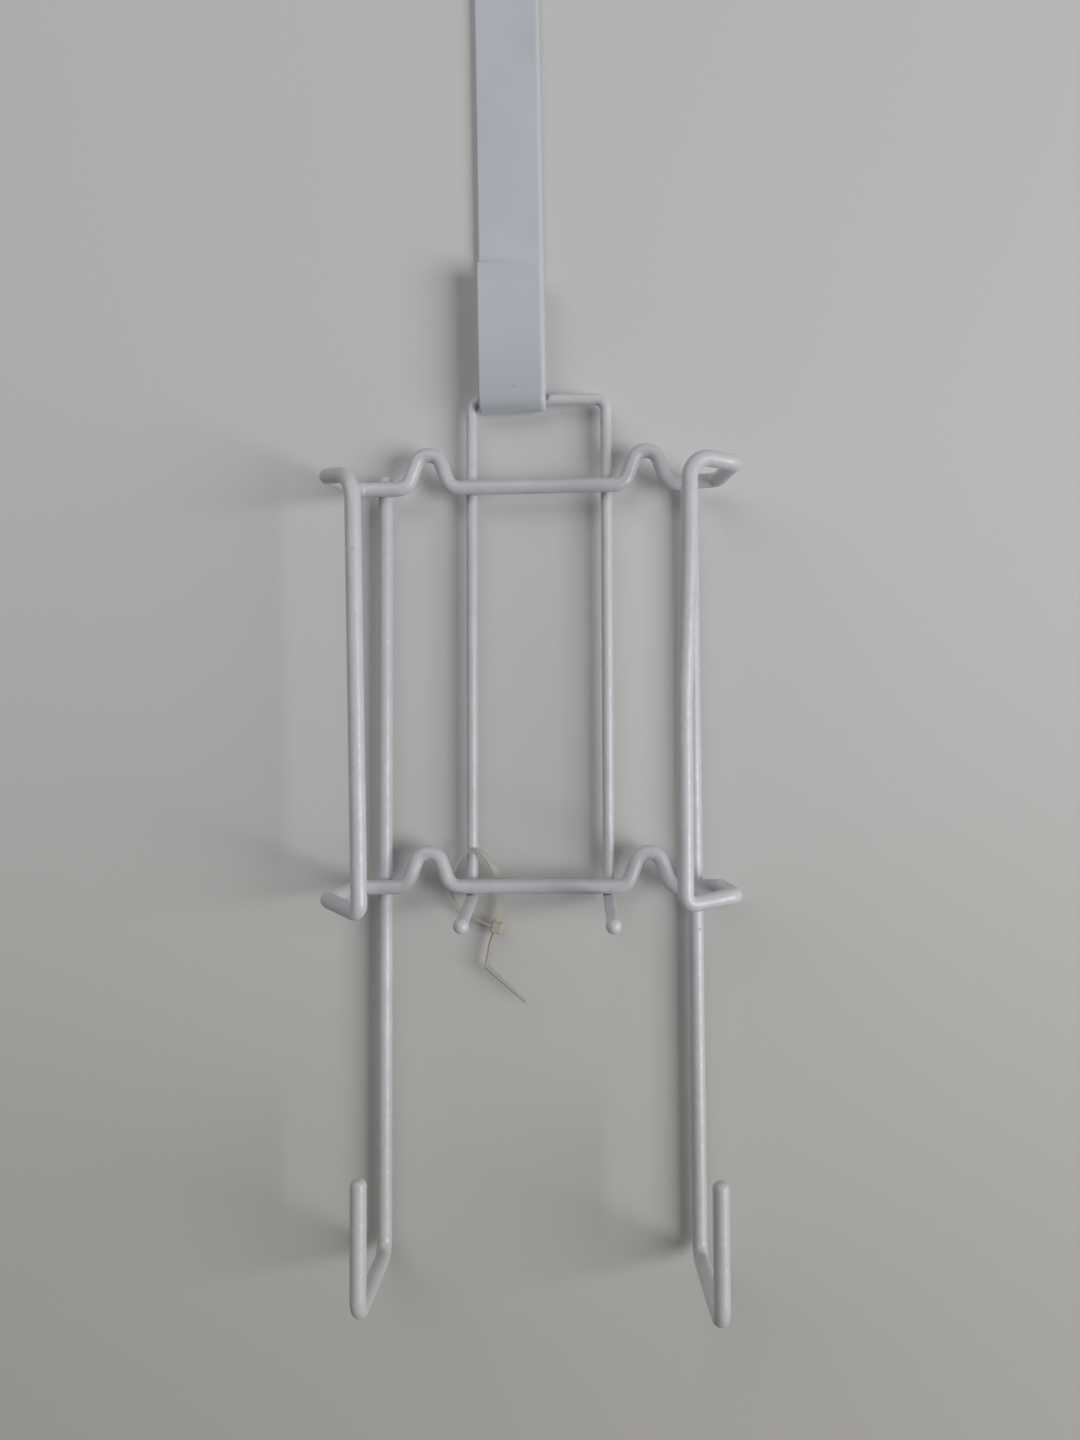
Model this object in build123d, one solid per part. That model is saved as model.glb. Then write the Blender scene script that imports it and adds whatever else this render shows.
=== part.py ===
from build123d import *
import os
from math import atan2, cos, radians, sin, tan

# Over-door holder for an iron and an ironing board, in millimetres.
# +X is to the right as the holder is seen from the front, -Y comes out from the door, +Z is up.
# The origin is the middle of the strap's seat, on the top edge of the door.

# Door strap: flat steel folded over the door, with a J at the bottom
strap_width = 25.4
strap_thickness = 2.0
strap_edge_round = 0.8
strap_drop = 305.0
door_gap = 38.0
saddle_bend = 2.5
back_lip = 42.0
curl_radius_left = 3.9
curl_radius_right = 2.7
arm_height = 56.0
arm_flare = 0.7
arm_flare_height = 5.6

# Hang of the wire holder in the J: pushed to the right and tipped to its heavy side
hang_offset = 9.9
hang_tilt = 0.78
seat_gap = 0.1

# Hanger frame: the thin wire
hanger_wire = 4.3
hanger_width = 51.2
hanger_bend = 4.2
peg_drop = 4.6
peg_reach = 44.0
peg_sag = 4.0
peg_bend = 4.0
peg_ball = 5.4

# Iron cage: one closed loop of the thick wire
cage_wire = 5.5
cage_bend = 3.7
cage_width_upper = 140.4
cage_width_lower = 137.6
cage_shift = -2.2
upper_wire_drop = 34.4
upper_wire_rise = 1.6
wire_spacing = 150.0
side_reach = 41.0

# Front bars: how far they stand out, how far apart they are, and the slight step in the right one
bar_reach = 49.0
bar_gap_upper = 113.5
bar_gap_lower = 108.0
bar_shift = -4.9
bar_bend_left = 10.5
bar_bend_right = 7.6
bar_bend_inside = 0.4
bar_step = 1.8
bar_step_foot = 0.2
bar_step_top = -72.0
bar_step_height = 45.0
bar_step_bend = 300.0

# How each corner has been bent in use: its back corner inwards, its front corner outwards and back,
# then its back corner, its front corner and its end of the bar down from the cross-wire
upper_left_corner = (4.5, 1.2, 6.0, 0.0, 2.7, 5.8)
upper_right_corner = (0.9, 0.0, 0.0, -0.9, 2.8, 2.1)
lower_left_corner = (2.5, 1.7, 6.0, 0.4, 1.0, 4.1)
lower_right_corner = (0.0, 0.0, 0.0, 0.0, -1.2, 1.1)

# Screw humps in the cross-wires, for hanging the holder on a wall
hump_spacing = 82.0
hump_shift = -0.6
hump_height = 12.6
hump_foot_width = 16.2
hump_top_width = 7.2
hump_top_flat = 0.36
hump_foot_bend = 5.0

# Board hooks: one J of thick wire on each side, the right one leaning in at the top and hanging lower at the toe
hook_wire = 5.5
hook_spacing = 117.2
hook_top_rise = 5.5
hook_drop = 321.0
hook_reach = 51.0
hook_rise = 3.0
hook_tip_height = 274.0
hook_bend = 6.0
hook_tip_round = 2.2
right_hook_lean = 1.0
right_toe_shift = 0.9
right_toe_drop = 1.9

# Welds: how far one wire is pressed into the next
weld_set_down = 0.5

# Cable tie: leftover nylon tie round the left upright, edge-on at the left and turned face-on at the right
tie_width = 2.6
tie_thickness = 1.0
tie_twist_angle = 80.0
tie_sections = 22
tie_tail_width = 2.1
tie_tail_angle = 40.0
tie_tip_width = 0.8
tie_tip_thickness = 0.6
tie_head_width = 4.4
tie_head_depth = 3.2
tie_head_height = 4.5
tie_head_round = 0.8
tie_head_angle = 12.0

# Run of the tie from its head round the upright and back, then its tail: right, back and up
# from the middle of the left upright at the height of the lower wire
tie_loop = [
    (7.6, 1.0, -15.2), (0.2, 1.3, -12.3), (-6.9, 1.0, -6.0), (-7.4, -0.2, 3.8),
    (0.8, -3.9, 13.5), (7.2, -1.3, 8.2), (10.9, 0.7, -3.3), (9.0, 1.0, -16.0),
]
tie_tail = [(9.0, 1.0, -16.0), (7.1, 0.8, -21.5), (5.3, 0.4, -30.4), (19.8, -0.6, -43.4)]

# Places that follow from the sizes above
strap_outer = door_gap / 2 + strap_thickness
curl_center_z = -strap_drop + strap_thickness + curl_radius_left
hang_y = -(strap_outer + curl_radius_right)
hang_z = (
    curl_center_z - curl_radius_right + hanger_wire / 2 + seat_gap
    + strap_width / 2 * tan(radians(hang_tilt))
)
cage_y = -((hanger_wire + cage_wire) / 2 - weld_set_down)
hook_y = cage_y + (cage_wire + hook_wire) / 2 - weld_set_down
lower_wire_drop = upper_wire_drop + wire_spacing
hanger_drop = lower_wire_drop + peg_drop
bar_bend_tight = cage_wire / 2 + bar_bend_inside
hump_flank = atan2(hump_height, (hump_foot_width - hump_top_width) / 2)
hump_top_bend = (hump_top_width - hump_top_flat) / 2 / tan(hump_flank / 2)


def wire_along(path, diameter):
    """One round wire swept along a path of straight runs and tangent arcs."""
    section = Plane(origin=path @ 0, z_dir=path % 0) * Circle(diameter / 2)
    return sweep(section, path=path)


def strap_side(curl_radius):
    """Side outline of the strap, with the J curled to the given inner radius."""
    curl_center = (-(strap_outer + curl_radius), curl_center_z)
    arm_back = curl_center[0] - curl_radius
    arm_front = arm_back - strap_thickness
    arm_tip = curl_center_z - curl_radius_left - strap_thickness + arm_height
    flare_z = arm_tip - arm_flare_height
    door_side = FilletPolyline(
        (door_gap / 2, -back_lip), (door_gap / 2, 0), (-door_gap / 2, 0), (-door_gap / 2, curl_center_z),
        radius=saddle_bend,
    )
    outer_side = FilletPolyline(
        (-strap_outer, curl_center_z), (-strap_outer, strap_thickness),
        (strap_outer, strap_thickness), (strap_outer, -back_lip),
        radius=saddle_bend + strap_thickness,
    )
    outline = [
        door_side,
        CenterArc(curl_center, curl_radius + strap_thickness, 0, -180),
        Polyline(
            (arm_front, curl_center_z), (arm_front, flare_z), (arm_front - arm_flare, arm_tip),
            (arm_back - arm_flare, arm_tip), (arm_back, flare_z), (arm_back, curl_center_z),
        ),
        CenterArc(curl_center, curl_radius, 180, 180),
        outer_side,
        Line((strap_outer, -back_lip), (door_gap / 2, -back_lip)),
    ]
    return make_face(outline)


def make_door_strap():
    """The strap, with the J curled a little wider on its left than on its right."""
    left = Plane.YZ.offset(-strap_width / 2) * strap_side(curl_radius_left)
    right = Plane.YZ.offset(strap_width / 2) * strap_side(curl_radius_right)
    strap = loft([left, right], ruled=True)
    by_side = strap.faces().sort_by(Axis.X)
    return fillet(by_side[0].edges() + by_side[-1].edges(), strap_edge_round)


def make_hanger_frame():
    """Upside-down U of thin wire, its ends bent forward as pegs with ball tips."""
    half = hanger_width / 2
    tip_z = -(hanger_drop + peg_sag)
    path = FilletPolyline(
        (-half, -peg_reach, tip_z), (-half, 0, -hanger_drop), (-half, 0, 0),
        (half, 0, 0), (half, 0, -hanger_drop), (half, -peg_reach, tip_z),
        radius=[peg_bend, hanger_bend, hanger_bend, peg_bend],
    )
    frame = wire_along(path, hanger_wire)
    for side in (-1, 1):
        frame += Pos(side * half, -peg_reach, tip_z) * Sphere(peg_ball / 2)
    return frame


def half_wire(side, drop, rise, width, bar_gap, bar_bend, corner):
    """Corners and bends of one cross-wire from its middle to the front bar on one side."""
    def height_at(x):
        return rise * x / width - drop

    hump_x = hump_shift + side * hump_spacing / 2
    foot = side * hump_foot_width / 2
    top = side * hump_top_width / 2
    corner_x = cage_shift + side * width / 2
    corner_z = height_at(corner_x)
    back_in, front_out, front_back, back_sag, front_sag, bar_sag = corner
    points = [
        (0, cage_y, height_at(0)),
        (hump_x - foot, cage_y, height_at(hump_x - foot)),
        (hump_x - top, cage_y, height_at(hump_x - top) + hump_height),
        (hump_x + top, cage_y, height_at(hump_x + top) + hump_height),
        (hump_x + foot, cage_y, height_at(hump_x + foot)),
        (corner_x - side * back_in, cage_y, corner_z - back_sag),
        (corner_x + side * front_out, front_back - side_reach, corner_z - front_sag),
        (bar_shift + side * bar_gap / 2, -bar_reach, corner_z - bar_sag),
    ]
    bends = [hump_foot_bend, hump_top_bend, hump_top_bend, hump_foot_bend] + [cage_bend, cage_bend, bar_bend]
    return points, bends


def half_cage(side, upper_bend, upper_corner, lower_corner):
    """Right or left half of the cage loop, from the middle of the upper wire to that of the lower."""
    upper, bends = half_wire(
        side, upper_wire_drop, upper_wire_rise, cage_width_upper, bar_gap_upper, upper_bend, upper_corner
    )
    lower, lower_bends = half_wire(
        side, lower_wire_drop, 0, cage_width_lower, bar_gap_lower, bar_bend_tight, lower_corner
    )
    if side > 0:
        step_foot = lower[-1][0] + bar_step_foot
        upper.append((step_foot + bar_step, -bar_reach, bar_step_top))
        upper.append((step_foot, -bar_reach, bar_step_top - bar_step_height))
        bends += [bar_step_bend] * 2
    path = FilletPolyline(*upper, *lower[::-1], radius=bends + lower_bends[::-1])
    return wire_along(path, cage_wire)


def make_iron_cage():
    """Closed wire loop: humped back wires, corners that come forward, and two front bars."""
    right = half_cage(1, bar_bend_right, upper_right_corner, lower_right_corner)
    left = half_cage(-1, bar_bend_left, upper_left_corner, lower_left_corner)
    return right + left


def make_board_hook(side):
    """J of thick wire that hangs behind both cross-wires, with its tips rounded."""
    heel_x = side * hook_spacing / 2
    lean, shift, drop = (right_hook_lean, right_toe_shift, right_toe_drop) if side > 0 else (0, 0, 0)
    path = FilletPolyline(
        (heel_x - lean, hook_y, hook_top_rise - upper_wire_drop),
        (heel_x, hook_y, -hook_drop),
        (heel_x + shift, -hook_reach, hook_rise - drop - hook_drop),
        (heel_x + shift, -hook_reach, -hook_tip_height),
        radius=hook_bend,
    )
    hook = wire_along(path, hook_wire)
    tips = hook.faces().filter_by(GeomType.PLANE)
    return fillet(tips.edges(), hook_tip_round)


def tie_section(point, direction, angle, width, thickness):
    """Section of the tie's strip, its width turned by an angle from pointing into the door."""
    across = Plane(origin=point, x_dir=(0, 1, 0), z_dir=direction)
    return across * Rot(0, 0, angle) * Rectangle(width, thickness)


def make_tie_loop():
    """Loop of the strip, twisted over the third quarter of its run."""
    line = Spline(*tie_loop)
    sections = []
    for i in range(tie_sections):
        along = i / (tie_sections - 1)
        twist = tie_twist_angle * min(max(4 * along - 2, 0), 1)
        sections.append(tie_section(line @ along, line % along, twist, tie_width, tie_thickness))
    return loft(sections)


def make_tie_tail():
    """Tail of the strip, creased once and drawn out to a thin tip."""
    head, neck, kink, tip = [Vector(*point) for point in tie_tail]
    return loft([
        tie_section(head, neck - head, tie_tail_angle, tie_tail_width, tie_thickness),
        tie_section(neck, kink - head, tie_tail_angle, tie_tail_width, tie_thickness),
        tie_section(kink, tip - neck, tie_tail_angle, tie_tail_width, tie_thickness),
        tie_section(tip, tip - kink, tie_tail_angle, tie_tip_width, tie_tip_thickness),
    ], ruled=True)


def make_cable_tie():
    """Nylon tie: a twisted loop round the left upright, a square head and a creased tail."""
    head = Box(tie_head_width, tie_head_depth, tie_head_height)
    head = Pos(*tie_loop[-1]) * Rot(0, tie_head_angle, 0) * fillet(head.edges(), tie_head_round)
    return Pos(-hanger_width / 2, 0, -lower_wire_drop) * (make_tie_loop() + make_tie_tail() + head)


def hung(piece):
    """A piece of the wire holder, moved from the holder's own frame to where it hangs."""
    tilt = radians(hang_tilt)
    return Pos(hang_offset * cos(tilt), hang_y, hang_z - hang_offset * sin(tilt)) * Rot(0, hang_tilt, 0) * piece


cage = make_iron_cage()
nodes = {
    "door_strap": make_door_strap(),
    "hanger_frame": hung(make_hanger_frame() - cage),
    "iron_cage": hung(cage),
    "board_hook_left": hung(make_board_hook(-1) - cage),
    "board_hook_right": hung(make_board_hook(1) - cage),
    "cable_tie": hung(make_cable_tie()),
}

os.makedirs("parts", exist_ok=True)
for name, solid in nodes.items():
    export_step(solid, f"parts/{name}.step")
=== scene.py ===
from math import radians, sqrt

import bmesh
import bpy
from bpy.props import FloatProperty, FloatVectorProperty, IntProperty, PointerProperty
from mathutils import Matrix, Vector


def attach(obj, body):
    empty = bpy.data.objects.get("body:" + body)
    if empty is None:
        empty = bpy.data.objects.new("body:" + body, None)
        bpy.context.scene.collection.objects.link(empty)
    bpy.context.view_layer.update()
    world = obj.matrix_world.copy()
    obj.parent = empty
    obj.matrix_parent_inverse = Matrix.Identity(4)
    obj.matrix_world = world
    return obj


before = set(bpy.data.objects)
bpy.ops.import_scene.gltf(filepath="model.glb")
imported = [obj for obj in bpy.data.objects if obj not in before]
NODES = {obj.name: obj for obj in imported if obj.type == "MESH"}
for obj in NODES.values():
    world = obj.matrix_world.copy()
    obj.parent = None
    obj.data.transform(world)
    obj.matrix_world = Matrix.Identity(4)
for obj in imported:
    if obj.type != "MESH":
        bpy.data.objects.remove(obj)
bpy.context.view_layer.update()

bl_info = {
    "name": "Iron holder finish",
    "version": (1, 0, 0),
    "blender": (4, 5, 0),
    "location": "View3D > Sidebar > Iron Holder",
    "description": "Paint, wire coat, weld webs and nylon tie of an over-door iron holder, and its stage",
    "category": "Object",
}

WIRE_NODES = ("hanger_frame", "iron_cage", "board_hook_left", "board_hook_right")

# All sizes and places are in metres, and the scales of patterns are in repeats for each metre

# Wires in the holder's own frame, before it is hung in the strap
CAGE_Y = -0.0044
CAGE_RADIUS = 0.00275
HOOK_Y = 0.0006
HOOK_RADIUS = 0.00275
UPRIGHT_Y = 0.0
UPRIGHT_RADIUS = 0.00215
HOOK_WELDS = ((-0.0586, -0.03507), (-0.0586, -0.18459), (0.0576, -0.0333), (0.0581, -0.1844))
UPRIGHT_WELDS = ((-0.0256, -0.03469), (-0.0256, -0.1844), (0.0256, -0.03411), (0.0256, -0.1844))

# How the holder hangs in the strap
HANG_OFFSET = 0.0099
HANG_Y = -0.0237
HANG_Z = -0.29938
HANG_TILT = radians(0.78)

# Rear half of a web's outline: share of its reach out from the weld, and share of its depth
WEB_HALF = ((0.0, 0.5), (0.55, 0.5), (0.85, 0.5), (1.0, 0.5), (0.9, 0.25), (0.86, 0.0))
WEB_SINK = 0.00004
WEB_LEAST_HALF_DEPTH = 0.00005
WEB_MERGE = 1e-7

# Share of a round mark's radius that has its full strength
MARK_CORE = 0.5

# Strap paint: patterns, the stretches of the frame's axes where it changes, with painted shade on the J's
# arm and curl and a painted highlight down the right edge, and a nick
STRAP_CLOUDS = 38.0
STRAP_CLOUD_BOUNDS = (0.35, 0.7)
STRAP_STREAKS = (700.0, 700.0, 14.0)
STRAP_STREAK_BOUNDS = (0.55, 0.8)
STRAP_STREAK_SHARE = 0.25
STRAP_ROUGH_BOUNDS = (0.3, 0.75)
STRAP_PEEL_SCALE = 1300.0
# Painted shade: the J's front arm is darkened across these depths, and more on its curl across these
# heights
ARM_SHADE_Y = (-0.0262, -0.0282)
ARM_SHADE_SHARE = 0.45
CURL_SHADE_Z = (-0.268, -0.300)
# Painted highlight down the strap's rolled right edge across the first of these widths
EDGE_HIGHLIGHT_X = (0.0110, 0.0117)
ROLL_X = (0.0106, 0.0132)
NICK_PLACE = (0.0007, -0.02955, -0.2961)
NICK_RADIUS = 0.0009
NICK_STRENGTH = 0.35
NICK_COLOR = (0.20, 0.20, 0.21)

# Wire coat: patterns, and the heights over which painted shade darkens it towards the hooks' low ends
COAT_CLOUDS = 85.0
COAT_CLOUD_BOUNDS = (0.35, 0.7)
COAT_LUMPS = 260.0
COAT_ROUGH_BOUNDS = (0.3, 0.7)
COAT_GRAIN = 1600.0
COAT_GRAIN_DEPTH = 0.000025
COAT_SPECKS = 95.0
COAT_SPECK_BOUNDS = (0.015, 0.035)
COAT_SPECK_STRENGTH = 0.45
# Painted shade: heights over which the wires darken towards the hooks' low ends
COAT_SHADE_Z = (-0.49, -0.59)

# Dark spots on the wires and one painted shadow: place, radius and strength
COAT_MARKS_AND_SHADOW = (
    # Specks in the coat of the left front bar and of the lower left corner
    ((-0.0533, -0.0754, -0.3430), 0.0007, 0.15),
    ((-0.0528, -0.0754, -0.3444), 0.0009, 0.18),
    ((-0.0521, -0.0754, -0.3656), 0.0009, 0.20),
    ((-0.0633, -0.0680, -0.4841), 0.0009, 0.35),
    # Darker spots on the hooks' uprights, two of them at the back bends
    ((-0.0542, -0.0258, -0.6209), 0.0012, 0.75),
    ((0.0648, -0.0258, -0.6231), 0.0013, 0.75),
    ((0.0665, -0.0258, -0.5008), 0.0009, 0.50),
    # Painted shadow of the J's right edge on the top bar
    ((0.0126, -0.0258, -0.2990), 0.0020, 0.70),
)

# Nylon tie: its head, the heights over which the strip turns to the dull tail, and its patterns
TIE_HEAD = (-0.0094, -0.0227, -0.4996)
TIE_HEAD_RADIUS = 0.0045
TIE_TAIL_Z = (TIE_HEAD[2] + 0.003, TIE_HEAD[2] - 0.001)
TIE_TAIL_COVER = 0.3
TIE_CLOUDS = 240.0
TIE_AGED_BOUNDS = (0.35, 0.75)
TIE_AGED_SHARE = 0.25
TIE_ROUGH_BOUNDS = (0.3, 0.7)
TIE_SPECULAR = 0.3
TIE_TEETH = 320.0
TIE_TEETH_DEPTH = 0.00002

# Plain door panel behind the holder, from the floor to just under the strap's fold
DOOR_WIDTH = 2.6
DOOR_TOP_Z = -0.001
DOOR_FACE_Y = -0.0183
# Painted shade: heights over which the panel darkens towards its foot
DOOR_SHADE_Z = (-0.3, -0.72)
DOOR_CLOUDS = 9.0
DOOR_CLOUD_SHARE = 0.06
DOOR_GRAIN = 420.0
DOOR_GRAIN_DEPTH = 0.00003
DOOR_ROUGHNESS = 0.7
DOOR_SPECULAR = 0.25

# Plain floor under a common inside door, and the share of its colour that lights the holder
FLOOR_Z = -2.0
FLOOR_SIDE = 40.0
FLOOR_CLOUDS = 3.0
FLOOR_CLOUD_SHADE = 0.98
FLOOR_BOUNCE = 0.35
FLOOR_ROUGHNESS = 0.6

# Lamps: width and height, place, and the point that each is aimed at
KEY_PLACE = (1.614, -1.322, -0.775)
KEY_TARGET = (0.005, -0.04, -0.45)
TOP_SIZE = (1.4, 1.0)
TOP_PLACE = (-0.6, -1.2, 0.5)
TOP_TARGET = (0.0, 0.0, -0.4)
REAR_SIZE = (1.4, 1.4)
REAR_PLACE = (0.0, 1.4, -0.25)
REAR_TARGET = (0.0, 0.0, -0.35)

# Colour of the light from all round
WORLD_COLOR = (1.0, 0.992, 0.978, 1.0)

# Width of the camera's sensor, in millimetres as its lens is
SENSOR_WIDTH = 36.0


def color_prop(name, description, default):
    """A colour that a user may change."""
    return FloatVectorProperty(
        name=name, description=description, default=default, subtype="COLOR", size=3, min=0.0, max=1.0
    )


def length_prop(name, description, default):
    """A length in metres that a user may change."""
    return FloatProperty(
        name=name, description=description, default=default, unit="LENGTH", precision=5, min=0.0
    )


def share_prop(name, description, default):
    """A share from nothing to all that a user may change."""
    return FloatProperty(
        name=name, description=description, default=default, subtype="FACTOR", min=0.0, max=1.0
    )


def power_prop(name, description, default):
    """A lamp's power in watts that a user may change."""
    return FloatProperty(name=name, description=description, default=default, unit="POWER", min=0.0)


class StrapFinish(bpy.types.PropertyGroup):
    """Finish of the flat door strap."""
    paint: color_prop("Paint", "Colour of the strap's satin paint", (0.440, 0.457, 0.500))
    # The worn colour is also the painted shade of the J's front arm
    paint_worn_and_shade: color_prop("Worn paint", "Colour where the paint is rubbed thin", (0.408, 0.424, 0.470))
    # Painted shade on the J's curl, towards its foot
    paint_curl_shade: color_prop("Rubbed paint", "Colour where the wire rubs the J's foot", (0.30, 0.31, 0.345))
    # Painted highlight down the strap's right edge
    paint_edge_highlight: color_prop("Paint bead", "Colour of the right edge's thick paint", (0.492, 0.512, 0.562))
    roughness: share_prop("Roughness", "Roughness of the paint", 0.42)
    edge_roll: length_prop("Edge roll", "Fall of the strap's rolled right edge", 0.0012)
    peel: length_prop("Peel", "Depth of the paint's fine orange peel", 0.00003)


class WireFinish(bpy.types.PropertyGroup):
    """Finish of the round wires and of the webs at their welds."""
    coat: color_prop("Coat", "Colour of the wires' dipped coat", (0.490, 0.495, 0.522))
    coat_thin: color_prop("Thin coat", "Colour where the coat is thin", (0.450, 0.455, 0.480))
    # Painted shade towards the hooks' low ends
    coat_low_shade: color_prop("Low coat", "Duller colour at the hooks' low ends", (0.425, 0.423, 0.432))
    # Also the colour of the painted shadow of the J's edge on the top bar
    speck_and_shadow: color_prop("Speck", "Colour of the dark specks in the coat", (0.11, 0.10, 0.09))
    roughness: share_prop("Roughness", "Roughness of the coat", 0.37)
    lump: length_prop("Lumps", "Height of the coat's lumps", 0.00022)
    web_reach: share_prop("Web reach", "Reach of the web round a weld, of the rear wire's radius", 0.9)
    web_steps: IntProperty(
        name="Web steps", description="Segments round each web", default=32, min=8, max=64
    )


class TieFinish(bpy.types.PropertyGroup):
    """Finish of the leftover nylon tie."""
    nylon: color_prop("Nylon", "Colour of the clear nylon", (0.44, 0.435, 0.405))
    nylon_tail: color_prop("Tail nylon", "Colour of the dull tail under the head", (0.385, 0.368, 0.33))
    nylon_aged: color_prop("Aged nylon", "Colour of its most yellowed parts", (0.415, 0.38, 0.302))
    cover: share_prop("Cover", "How much the nylon hides of what is behind it", 0.44)
    cover_head: share_prop("Head cover", "How much the thick head hides of what is behind it", 0.85)
    roughness: share_prop("Roughness", "Roughness of the nylon", 0.5)


class StageSetup(bpy.types.PropertyGroup):
    """Door panel, floor, lights and camera."""
    door: color_prop("Door", "Colour of the plain panel behind the holder", (0.503, 0.505, 0.502))
    # Painted shade towards the panel's foot, also the darker tone of its faint clouds
    door_foot_shade: color_prop("Door foot", "Colour of the panel towards its foot", (0.385, 0.376, 0.354))
    floor: color_prop("Floor", "Colour of the plain floor", (0.56, 0.56, 0.55))
    ambient: FloatProperty(
        name="Ambient", description="Mean strength of the light from all round", default=0.165, min=0.0
    )
    ambient_lean: FloatVectorProperty(
        name="Ambient lean", description="How much stronger that light is towards +X, +Y and +Z",
        default=(-0.07, -0.02, 0.10), subtype="XYZ",
    )
    key_power: power_prop("Key", "Power of the soft key light", 40.0)
    key_width: length_prop("Key width", "Width of the soft key light", 1.35)
    key_height: length_prop("Key height", "Height of the soft key light", 1.1)
    top_power: power_prop("Top", "Power of the wide lamp above", 8.0)
    back_power: power_prop("Back", "Power of the rear fill", 16.0)
    camera_place: FloatVectorProperty(
        name="Camera place", description="Where the camera stands", subtype="TRANSLATION", unit="LENGTH",
        default=(0.0186, -0.4317, -0.43713),
    )
    camera_turn: FloatVectorProperty(
        name="Camera turn", description="How the camera is turned", subtype="EULER", unit="ROTATION",
        default=(radians(92.1449), radians(0.9948), radians(1.4829)),
    )
    lens: FloatProperty(
        name="Lens", description="Focal length of the camera", default=27.03, unit="CAMERA", min=1.0
    )


class Graph:
    """Short way to lay out one material's nodes."""

    def __init__(self, name):
        self.material = bpy.data.materials.new(name)
        self.material.use_nodes = True
        self.nodes = self.material.node_tree.nodes
        self.links = self.material.node_tree.links
        self.shader = self.nodes["Principled BSDF"]
        self.output = self.nodes["Material Output"]
        self.place = self.add("ShaderNodeTexCoord").outputs["Object"]

    def add(self, kind, **settings):
        """New node of a kind, with its settings."""
        node = self.nodes.new(kind)
        for key, value in settings.items():
            setattr(node, key, value)
        return node

    def feed(self, socket, value):
        """Links another node's output to a socket, or sets a plain value on it."""
        if isinstance(value, bpy.types.NodeSocket):
            self.links.new(value, socket)
        else:
            socket.default_value = value

    def give(self, name, value):
        """Feeds one socket of the surface's shader."""
        self.feed(self.shader.inputs[name], value)

    def along(self, axis):
        """Place along one axis of the frame."""
        parts = self.add("ShaderNodeSeparateXYZ")
        self.feed(parts.inputs["Vector"], self.place)
        return parts.outputs[axis]

    def noise(self, scale, detail=2.0, stretch=None):
        """Soft noise, which a stretch draws out along the axes."""
        place = self.place
        if stretch:
            mapping = self.add("ShaderNodeMapping")
            self.feed(mapping.inputs["Vector"], place)
            self.feed(mapping.inputs["Scale"], stretch)
            place = mapping.outputs["Vector"]
        node = self.add("ShaderNodeTexNoise")
        self.feed(node.inputs["Vector"], place)
        self.feed(node.inputs["Scale"], scale)
        self.feed(node.inputs["Detail"], detail)
        return node.outputs["Fac"]

    def spread(self, value, bounds, result=(0.0, 1.0), smooth=False):
        """A value taken from its own bounds to a result's, and held there outside them."""
        node = self.add("ShaderNodeMapRange", interpolation_type="SMOOTHSTEP" if smooth else "LINEAR")
        names = ("Value", "From Min", "From Max", "To Min", "To Max")
        for name, item in zip(names, (value, *bounds, *result)):
            self.feed(node.inputs[name], item)
        return node.outputs["Result"]

    def math(self, operation, first, second):
        """One sum of two values."""
        node = self.add("ShaderNodeMath", operation=operation)
        self.feed(node.inputs[0], first)
        self.feed(node.inputs[1], second)
        return node.outputs[0]

    def mix(self, share, first, second):
        """Two colours, mixed by the share of the second."""
        node = self.add("ShaderNodeMix", data_type="RGBA")
        self.feed(node.inputs["Factor"], share)
        for key, color in (("A", first), ("B", second)):
            socket = next(s for s in node.inputs if s.name == key and s.type == "RGBA")
            self.feed(socket, color if isinstance(color, bpy.types.NodeSocket) else (*color, 1.0))
        return next(s for s in node.outputs if s.type == "RGBA")

    def spot(self, point, radius):
        """One round mark of a given radius at a point."""
        node = self.add("ShaderNodeVectorMath", operation="DISTANCE")
        self.feed(node.inputs[0], self.place)
        self.feed(node.inputs[1], point)
        return self.spread(node.outputs["Value"], (MARK_CORE * radius, radius), (1.0, 0.0), smooth=True)

    def bump(self, height, distance, under=None):
        """Normal of a surface with a height pattern, laid over another bump if there is one."""
        node = self.add("ShaderNodeBump")
        self.feed(node.inputs["Strength"], 1.0)
        self.feed(node.inputs["Distance"], distance)
        self.feed(node.inputs["Height"], height)
        if under:
            self.feed(node.inputs["Normal"], under)
        return node.outputs["Normal"]

    def vary_roughness(self, pattern, bounds, middle, smoother, rougher):
        """Roughness that follows a pattern, from a little smoother to a little rougher than the middle."""
        self.give("Roughness", self.spread(pattern, bounds, (middle - smoother, middle + rougher)))


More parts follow.
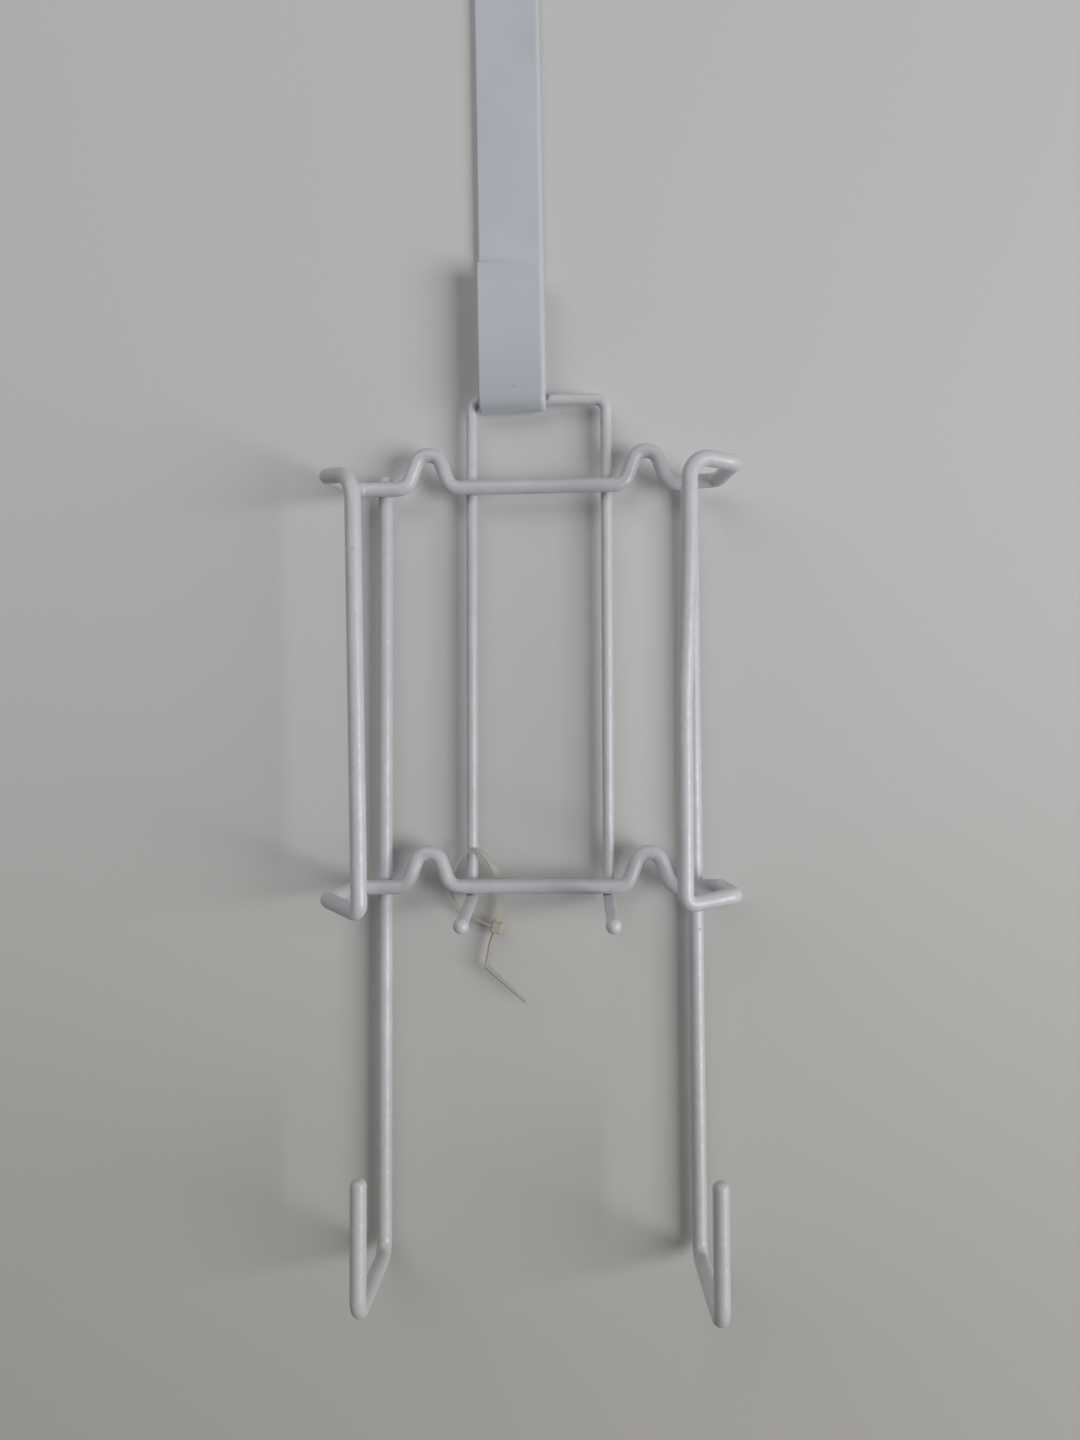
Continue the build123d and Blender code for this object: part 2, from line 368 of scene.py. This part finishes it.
def strap_paint(finish):
    """Bluish white satin paint, with painted shade on the J's arm and curl, a painted highlight down its
    rolled right edge, and a nick.
    """
    g = Graph("strap_paint")
    streaks = g.noise(1.0, detail=3.0, stretch=STRAP_STREAKS)
    clouds = g.noise(STRAP_CLOUDS, detail=3.0)
    color = g.mix(g.spread(clouds, STRAP_CLOUD_BOUNDS), finish.paint, finish.paint_worn_and_shade)
    streaked = g.spread(streaks, STRAP_STREAK_BOUNDS, (0.0, STRAP_STREAK_SHARE))
    color = g.mix(streaked, color, finish.paint_worn_and_shade)
    # Painted shade on the J's front arm, deeper on its curl
    arm_shade = g.spread(g.along("Y"), ARM_SHADE_Y, (0.0, ARM_SHADE_SHARE), smooth=True)
    color = g.mix(arm_shade, color, finish.paint_worn_and_shade)
    curl_shade = g.spread(g.along("Z"), CURL_SHADE_Z, smooth=True)
    color = g.mix(g.math("MULTIPLY", curl_shade, arm_shade), color, finish.paint_curl_shade)
    # Painted highlight down the rolled right edge
    edge_highlight = g.spread(g.along("X"), EDGE_HIGHLIGHT_X, smooth=True)
    color = g.mix(edge_highlight, color, finish.paint_edge_highlight)
    nick = g.math("MULTIPLY", g.spot(NICK_PLACE, NICK_RADIUS), NICK_STRENGTH)
    g.give("Base Color", g.mix(nick, color, NICK_COLOR))
    g.vary_roughness(clouds, STRAP_ROUGH_BOUNDS, finish.roughness, smoother=0.05, rougher=0.06)
    roll = g.spread(g.along("X"), ROLL_X, (1.0, 0.0), smooth=True)
    rolled = g.bump(roll, finish.edge_roll)
    g.give("Normal", g.bump(g.noise(STRAP_PEEL_SCALE), finish.peel, under=rolled))
    return g.material


def wire_coat(finish):
    """Thick white coat, slightly lumpy, with painted shade towards the hooks' low ends, a few dark specks
    and spots, and a painted shadow of the J's edge on the top bar.
    """
    g = Graph("wire_coat")
    clouds = g.noise(COAT_CLOUDS, detail=3.0)
    lumps = g.noise(COAT_LUMPS)
    color = g.mix(g.spread(clouds, COAT_CLOUD_BOUNDS), finish.coat, finish.coat_thin)
    # Painted shade towards the hooks' low ends
    color = g.mix(g.spread(g.along("Z"), COAT_SHADE_Z, smooth=True), color, finish.coat_low_shade)
    cells = g.add("ShaderNodeTexVoronoi")
    g.feed(cells.inputs["Vector"], g.place)
    g.feed(cells.inputs["Scale"], COAT_SPECKS)
    marks_and_shadow = g.spread(cells.outputs["Distance"], COAT_SPECK_BOUNDS, (COAT_SPECK_STRENGTH, 0.0), smooth=True)
    # Dark spots, and the painted shadow of the J's edge on the top bar
    for point, radius, strength in COAT_MARKS_AND_SHADOW:
        marks_and_shadow = g.math("MAXIMUM", marks_and_shadow, g.math("MULTIPLY", g.spot(point, radius), strength))
    g.give("Base Color", g.mix(marks_and_shadow, color, finish.speck_and_shadow))
    g.vary_roughness(lumps, COAT_ROUGH_BOUNDS, finish.roughness, smoother=0.06, rougher=0.08)
    lumpy = g.bump(lumps, finish.lump)
    g.give("Normal", g.bump(g.noise(COAT_GRAIN), COAT_GRAIN_DEPTH, under=lumpy))
    return g.material


def tie_nylon(finish):
    """Thin see-through nylon, yellowed at its thick head, with the fine cross teeth of a tie's strip."""
    g = Graph("tie_nylon")
    clouds = g.noise(TIE_CLOUDS)
    head = g.spot(TIE_HEAD, TIE_HEAD_RADIUS)
    tail = g.spread(g.along("Z"), TIE_TAIL_Z, smooth=True)
    strip = g.mix(tail, finish.nylon, finish.nylon_tail)
    aged = g.math("MAXIMUM", g.spread(clouds, TIE_AGED_BOUNDS, (0.0, TIE_AGED_SHARE)), head)
    g.give("Base Color", g.mix(aged, strip, finish.nylon_aged))
    g.vary_roughness(clouds, TIE_ROUGH_BOUNDS, finish.roughness, smoother=0.06, rougher=0.08)
    thick = g.math("MAXIMUM", head, g.math("MULTIPLY", tail, TIE_TAIL_COVER))
    g.give("Alpha", g.spread(thick, (0.0, 1.0), (finish.cover, finish.cover_head)))
    g.give("Specular IOR Level", TIE_SPECULAR)
    teeth = g.add("ShaderNodeTexWave", bands_direction="Z")
    g.feed(teeth.inputs["Vector"], g.place)
    g.feed(teeth.inputs["Scale"], TIE_TEETH)
    g.give("Normal", g.bump(teeth.outputs["Fac"], TIE_TEETH_DEPTH))
    return g.material


def door_paint(setup):
    """Plain pale paint with painted shade darkening it towards the foot, seen only from the front and clear
    to the lamps.
    """
    g = Graph("door_paint")
    # Painted shade towards the panel's foot
    color = g.mix(g.spread(g.along("Z"), DOOR_SHADE_Z, smooth=True), setup.door, setup.door_foot_shade)
    clouds = g.math("MULTIPLY", g.noise(DOOR_CLOUDS), DOOR_CLOUD_SHARE)
    g.give("Base Color", g.mix(clouds, color, setup.door_foot_shade))
    g.give("Roughness", DOOR_ROUGHNESS)
    g.give("Specular IOR Level", DOOR_SPECULAR)
    g.give("Normal", g.bump(g.noise(DOOR_GRAIN), DOOR_GRAIN_DEPTH))
    behind = g.add("ShaderNodeNewGeometry").outputs["Backfacing"]
    shadow = g.add("ShaderNodeLightPath").outputs["Is Shadow Ray"]
    blend = g.add("ShaderNodeMixShader")
    g.feed(blend.inputs[0], g.math("MAXIMUM", behind, shadow))
    g.feed(blend.inputs[1], g.shader.outputs["BSDF"])
    g.feed(blend.inputs[2], g.add("ShaderNodeBsdfTransparent").outputs["BSDF"])
    g.feed(g.output.inputs["Surface"], blend.outputs["Shader"])
    return g.material


def floor_paint(setup):
    """Plain pale floor, which lights the holder less than it shows."""
    g = Graph("floor_paint")
    clouded = tuple(FLOOR_CLOUD_SHADE * part for part in setup.floor)
    bounced = tuple(FLOOR_BOUNCE * part for part in setup.floor)
    shown = g.mix(g.noise(FLOOR_CLOUDS), setup.floor, clouded)
    path = g.add("ShaderNodeLightPath")
    seen = g.math("MAXIMUM", path.outputs["Is Camera Ray"], path.outputs["Is Glossy Ray"])
    seen = g.math("MAXIMUM", seen, path.outputs["Is Transmission Ray"])
    g.give("Base Color", g.mix(seen, bounced, shown))
    g.give("Roughness", FLOOR_ROUGHNESS)
    return g.material


def dress(names, material):
    """Gives CAD nodes one material in all their slots."""
    for name in names:
        node = NODES[name]
        if not node.material_slots:
            node.data.materials.append(material)
        for slot in node.material_slots:
            slot.material = material


def object_from(name, bm, material):
    """New object at the origin from a finished bmesh."""
    mesh = bpy.data.meshes.new(name)
    bm.to_mesh(mesh)
    bm.free()
    mesh.materials.append(material)
    made = bpy.data.objects.new(name, mesh)
    bpy.context.scene.collection.objects.link(made)
    return made


def hung():
    """Move from the holder's own frame to where it hangs in the strap."""
    tilt = Matrix.Rotation(HANG_TILT, 4, "Y")
    offset = tilt @ Vector((HANG_OFFSET, 0.0, 0.0))
    return Matrix.Translation((offset.x, HANG_Y, HANG_Z + offset.z)) @ tilt


def add_web(bm, weld, back_y, back_radius, finish):
    """One web of coat in the groove round a weld, between a cross-wire and the wire behind it."""
    reach = finish.web_reach * back_radius
    outline = [*WEB_HALF, *((out, -depth) for out, depth in reversed(WEB_HALF[:-1]))]
    verts = [bm.verts.new((reach * out, depth, 0.0)) for out, depth in outline]
    edges = [bm.edges.new(pair) for pair in zip(verts, verts[1:])]
    bmesh.ops.spin(
        bm, geom=verts + edges, cent=(0, 0, 0), axis=(0, 1, 0), angle=radians(360), steps=finish.web_steps,
        use_merge=True,
    )
    bmesh.ops.remove_doubles(bm, verts=[vert for vert in bm.verts if not vert.tag], dist=WEB_MERGE)
    web = [vert for vert in bm.verts if not vert.tag]
    middle = (back_y - back_radius + CAGE_Y + CAGE_RADIUS) / 2
    for vert in web:
        back = back_y - sqrt(max(back_radius ** 2 - vert.co.x ** 2, 0.0))
        front = CAGE_Y + sqrt(max(CAGE_RADIUS ** 2 - vert.co.z ** 2, 0.0))
        back = max(back + WEB_SINK, middle + WEB_LEAST_HALF_DEPTH)
        front = min(front - WEB_SINK, middle - WEB_LEAST_HALF_DEPTH)
        vert.co.y = front + (vert.co.y + 0.5) * (back - front)
        vert.tag = True
    bmesh.ops.translate(bm, verts=web, vec=(weld[0], 0.0, weld[1]))


def add_sheet(name, material, place):
    """One flat sheet of the stage: a square of one metre, stretched and set in place by a matrix."""
    bm = bmesh.new()
    bmesh.ops.create_grid(bm, x_segments=1, y_segments=1, size=0.5, matrix=place)
    object_from(name, bm, material)


def add_door(setup):
    """Door panel, upright with its front towards the viewer."""
    height = DOOR_TOP_Z - FLOOR_Z
    middle = Matrix.Translation((0.0, DOOR_FACE_Y, FLOOR_Z + height / 2))
    upright = Matrix.Rotation(radians(90), 4, "X")
    stretch = Matrix.Diagonal((DOOR_WIDTH, height, 1.0, 1.0))
    add_sheet("door_panel", door_paint(setup), middle @ upright @ stretch)


def add_floor(setup):
    """Wide flat floor."""
    stretch = Matrix.Diagonal((FLOOR_SIDE, FLOOR_SIDE, 1.0, 1.0))
    add_sheet("floor", floor_paint(setup), Matrix.Translation((0.0, 0.0, FLOOR_Z)) @ stretch)


def add_lamp(name, power, size, place, target):
    """One soft oblong lamp, aimed at a point."""
    lamp = bpy.data.lights.new(name, "AREA")
    lamp.energy = power
    lamp.shape = "RECTANGLE"
    lamp.size, lamp.size_y = size
    holder = bpy.data.objects.new(name, lamp)
    holder.location = place
    holder.rotation_euler = (Vector(target) - Vector(place)).to_track_quat("-Z", "Y").to_euler()
    bpy.context.scene.collection.objects.link(holder)
    return holder


def add_lamps(setup):
    """Soft key light from the right, a wide lamp above and a rear fill that leaves no glints."""
    add_lamp("key", setup.key_power, (setup.key_width, setup.key_height), KEY_PLACE, KEY_TARGET)
    add_lamp("top", setup.top_power, TOP_SIZE, TOP_PLACE, TOP_TARGET)
    rear = add_lamp("rear_fill", setup.back_power, REAR_SIZE, REAR_PLACE, REAR_TARGET)
    rear.data.cycles.use_multiple_importance_sampling = False
    rear.visible_glossy = False


def add_world(setup):
    """Pale light from all round, stronger from above and a little from the front and the left."""
    world = bpy.data.worlds.new("studio")
    world.use_nodes = True
    nodes = world.node_tree.nodes
    links = world.node_tree.links
    background = nodes["Background"]
    background.inputs["Color"].default_value = WORLD_COLOR
    lean = nodes.new("ShaderNodeVectorMath")
    lean.operation = "DOT_PRODUCT"
    lean.inputs[1].default_value = setup.ambient_lean
    level = nodes.new("ShaderNodeMath")
    level.operation = "ADD"
    level.inputs[1].default_value = setup.ambient
    links.new(nodes.new("ShaderNodeTexCoord").outputs["Generated"], lean.inputs[0])
    links.new(lean.outputs["Value"], level.inputs[0])
    links.new(level.outputs["Value"], background.inputs["Strength"])
    world.cycles.sampling_method = "NONE"
    bpy.context.scene.world = world


def add_camera(setup):
    """Camera at the photograph's viewing angle."""
    camera = bpy.data.cameras.new("camera")
    camera.lens = setup.lens
    camera.sensor_width = SENSOR_WIDTH
    holder = bpy.data.objects.new("camera", camera)
    holder.location = setup.camera_place
    holder.rotation_euler = setup.camera_turn
    bpy.context.scene.collection.objects.link(holder)
    bpy.context.scene.camera = holder


class IRON_HOLDER_OT_strap(bpy.types.Operator):
    """Paint the door strap"""
    bl_idname = "iron_holder.strap"
    bl_label = "Paint Door Strap"

    def execute(self, context):
        dress(["door_strap"], strap_paint(context.scene.holder_strap))
        return {"FINISHED"}


class IRON_HOLDER_OT_wires(bpy.types.Operator):
    """Coat the hanger frame, the iron cage and the board hooks"""
    bl_idname = "iron_holder.wires"
    bl_label = "Coat Wires"

    def execute(self, context):
        dress(WIRE_NODES, wire_coat(context.scene.holder_wires))
        return {"FINISHED"}


class IRON_HOLDER_OT_webs(bpy.types.Operator):
    """Add the webs of coat round the eight welds of the coated wires"""
    bl_idname = "iron_holder.webs"
    bl_label = "Add Weld Webs"

    def execute(self, context):
        finish = context.scene.holder_wires
        bm = bmesh.new()
        for weld in HOOK_WELDS:
            add_web(bm, weld, HOOK_Y, HOOK_RADIUS, finish)
        for weld in UPRIGHT_WELDS:
            add_web(bm, weld, UPRIGHT_Y, UPRIGHT_RADIUS, finish)
        bm.transform(hung())
        bmesh.ops.recalc_face_normals(bm, faces=bm.faces)
        piece = object_from("weld_webs", bm, bpy.data.materials["wire_coat"])
        piece.data.shade_smooth()
        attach(piece, "root")
        return {"FINISHED"}


class IRON_HOLDER_OT_tie(bpy.types.Operator):
    """Finish the nylon tie"""
    bl_idname = "iron_holder.tie"
    bl_label = "Finish Cable Tie"

    def execute(self, context):
        dress(["cable_tie"], tie_nylon(context.scene.holder_tie))
        return {"FINISHED"}


class IRON_HOLDER_OT_stage(bpy.types.Operator):
    """Set up the door panel, the floor, the lights and the camera"""
    bl_idname = "iron_holder.stage"
    bl_label = "Set Up Stage"

    def execute(self, context):
        setup = context.scene.holder_stage
        add_door(setup)
        add_floor(setup)
        add_lamps(setup)
        add_world(setup)
        add_camera(setup)
        context.scene.view_settings.view_transform = "Standard"
        return {"FINISHED"}


# Sections of the sidebar: name of the values in the scene, their class and the operators that use them
SECTIONS = (
    ("holder_strap", StrapFinish, (IRON_HOLDER_OT_strap,)),
    ("holder_wires", WireFinish, (IRON_HOLDER_OT_wires, IRON_HOLDER_OT_webs)),
    ("holder_tie", TieFinish, (IRON_HOLDER_OT_tie,)),
    ("holder_stage", StageSetup, (IRON_HOLDER_OT_stage,)),
)


class IRON_HOLDER_PT_panel(bpy.types.Panel):
    """Sidebar panel of the iron holder"""
    bl_idname = "IRON_HOLDER_PT_panel"
    bl_label = "Iron Holder"
    bl_space_type = "VIEW_3D"
    bl_region_type = "UI"
    bl_category = "Iron Holder"

    def draw(self, context):
        for name, group, operators in SECTIONS:
            box = self.layout.box()
            for key in group.__annotations__:
                box.prop(getattr(context.scene, name), key)
            for operator in operators:
                box.operator(operator.bl_idname)


def register():
    for name, group, operators in SECTIONS:
        bpy.utils.register_class(group)
        setattr(bpy.types.Scene, name, PointerProperty(type=group))
        for operator in operators:
            bpy.utils.register_class(operator)
    bpy.utils.register_class(IRON_HOLDER_PT_panel)


def unregister():
    bpy.utils.unregister_class(IRON_HOLDER_PT_panel)
    for name, group, operators in reversed(SECTIONS):
        for operator in reversed(operators):
            bpy.utils.unregister_class(operator)
        delattr(bpy.types.Scene, name)
        bpy.utils.unregister_class(group)


def main():
    register()
    bpy.ops.iron_holder.strap()
    bpy.ops.iron_holder.wires()
    bpy.ops.iron_holder.webs()
    bpy.ops.iron_holder.tie()
    bpy.ops.iron_holder.stage()


if __name__ == "__main__":
    main()
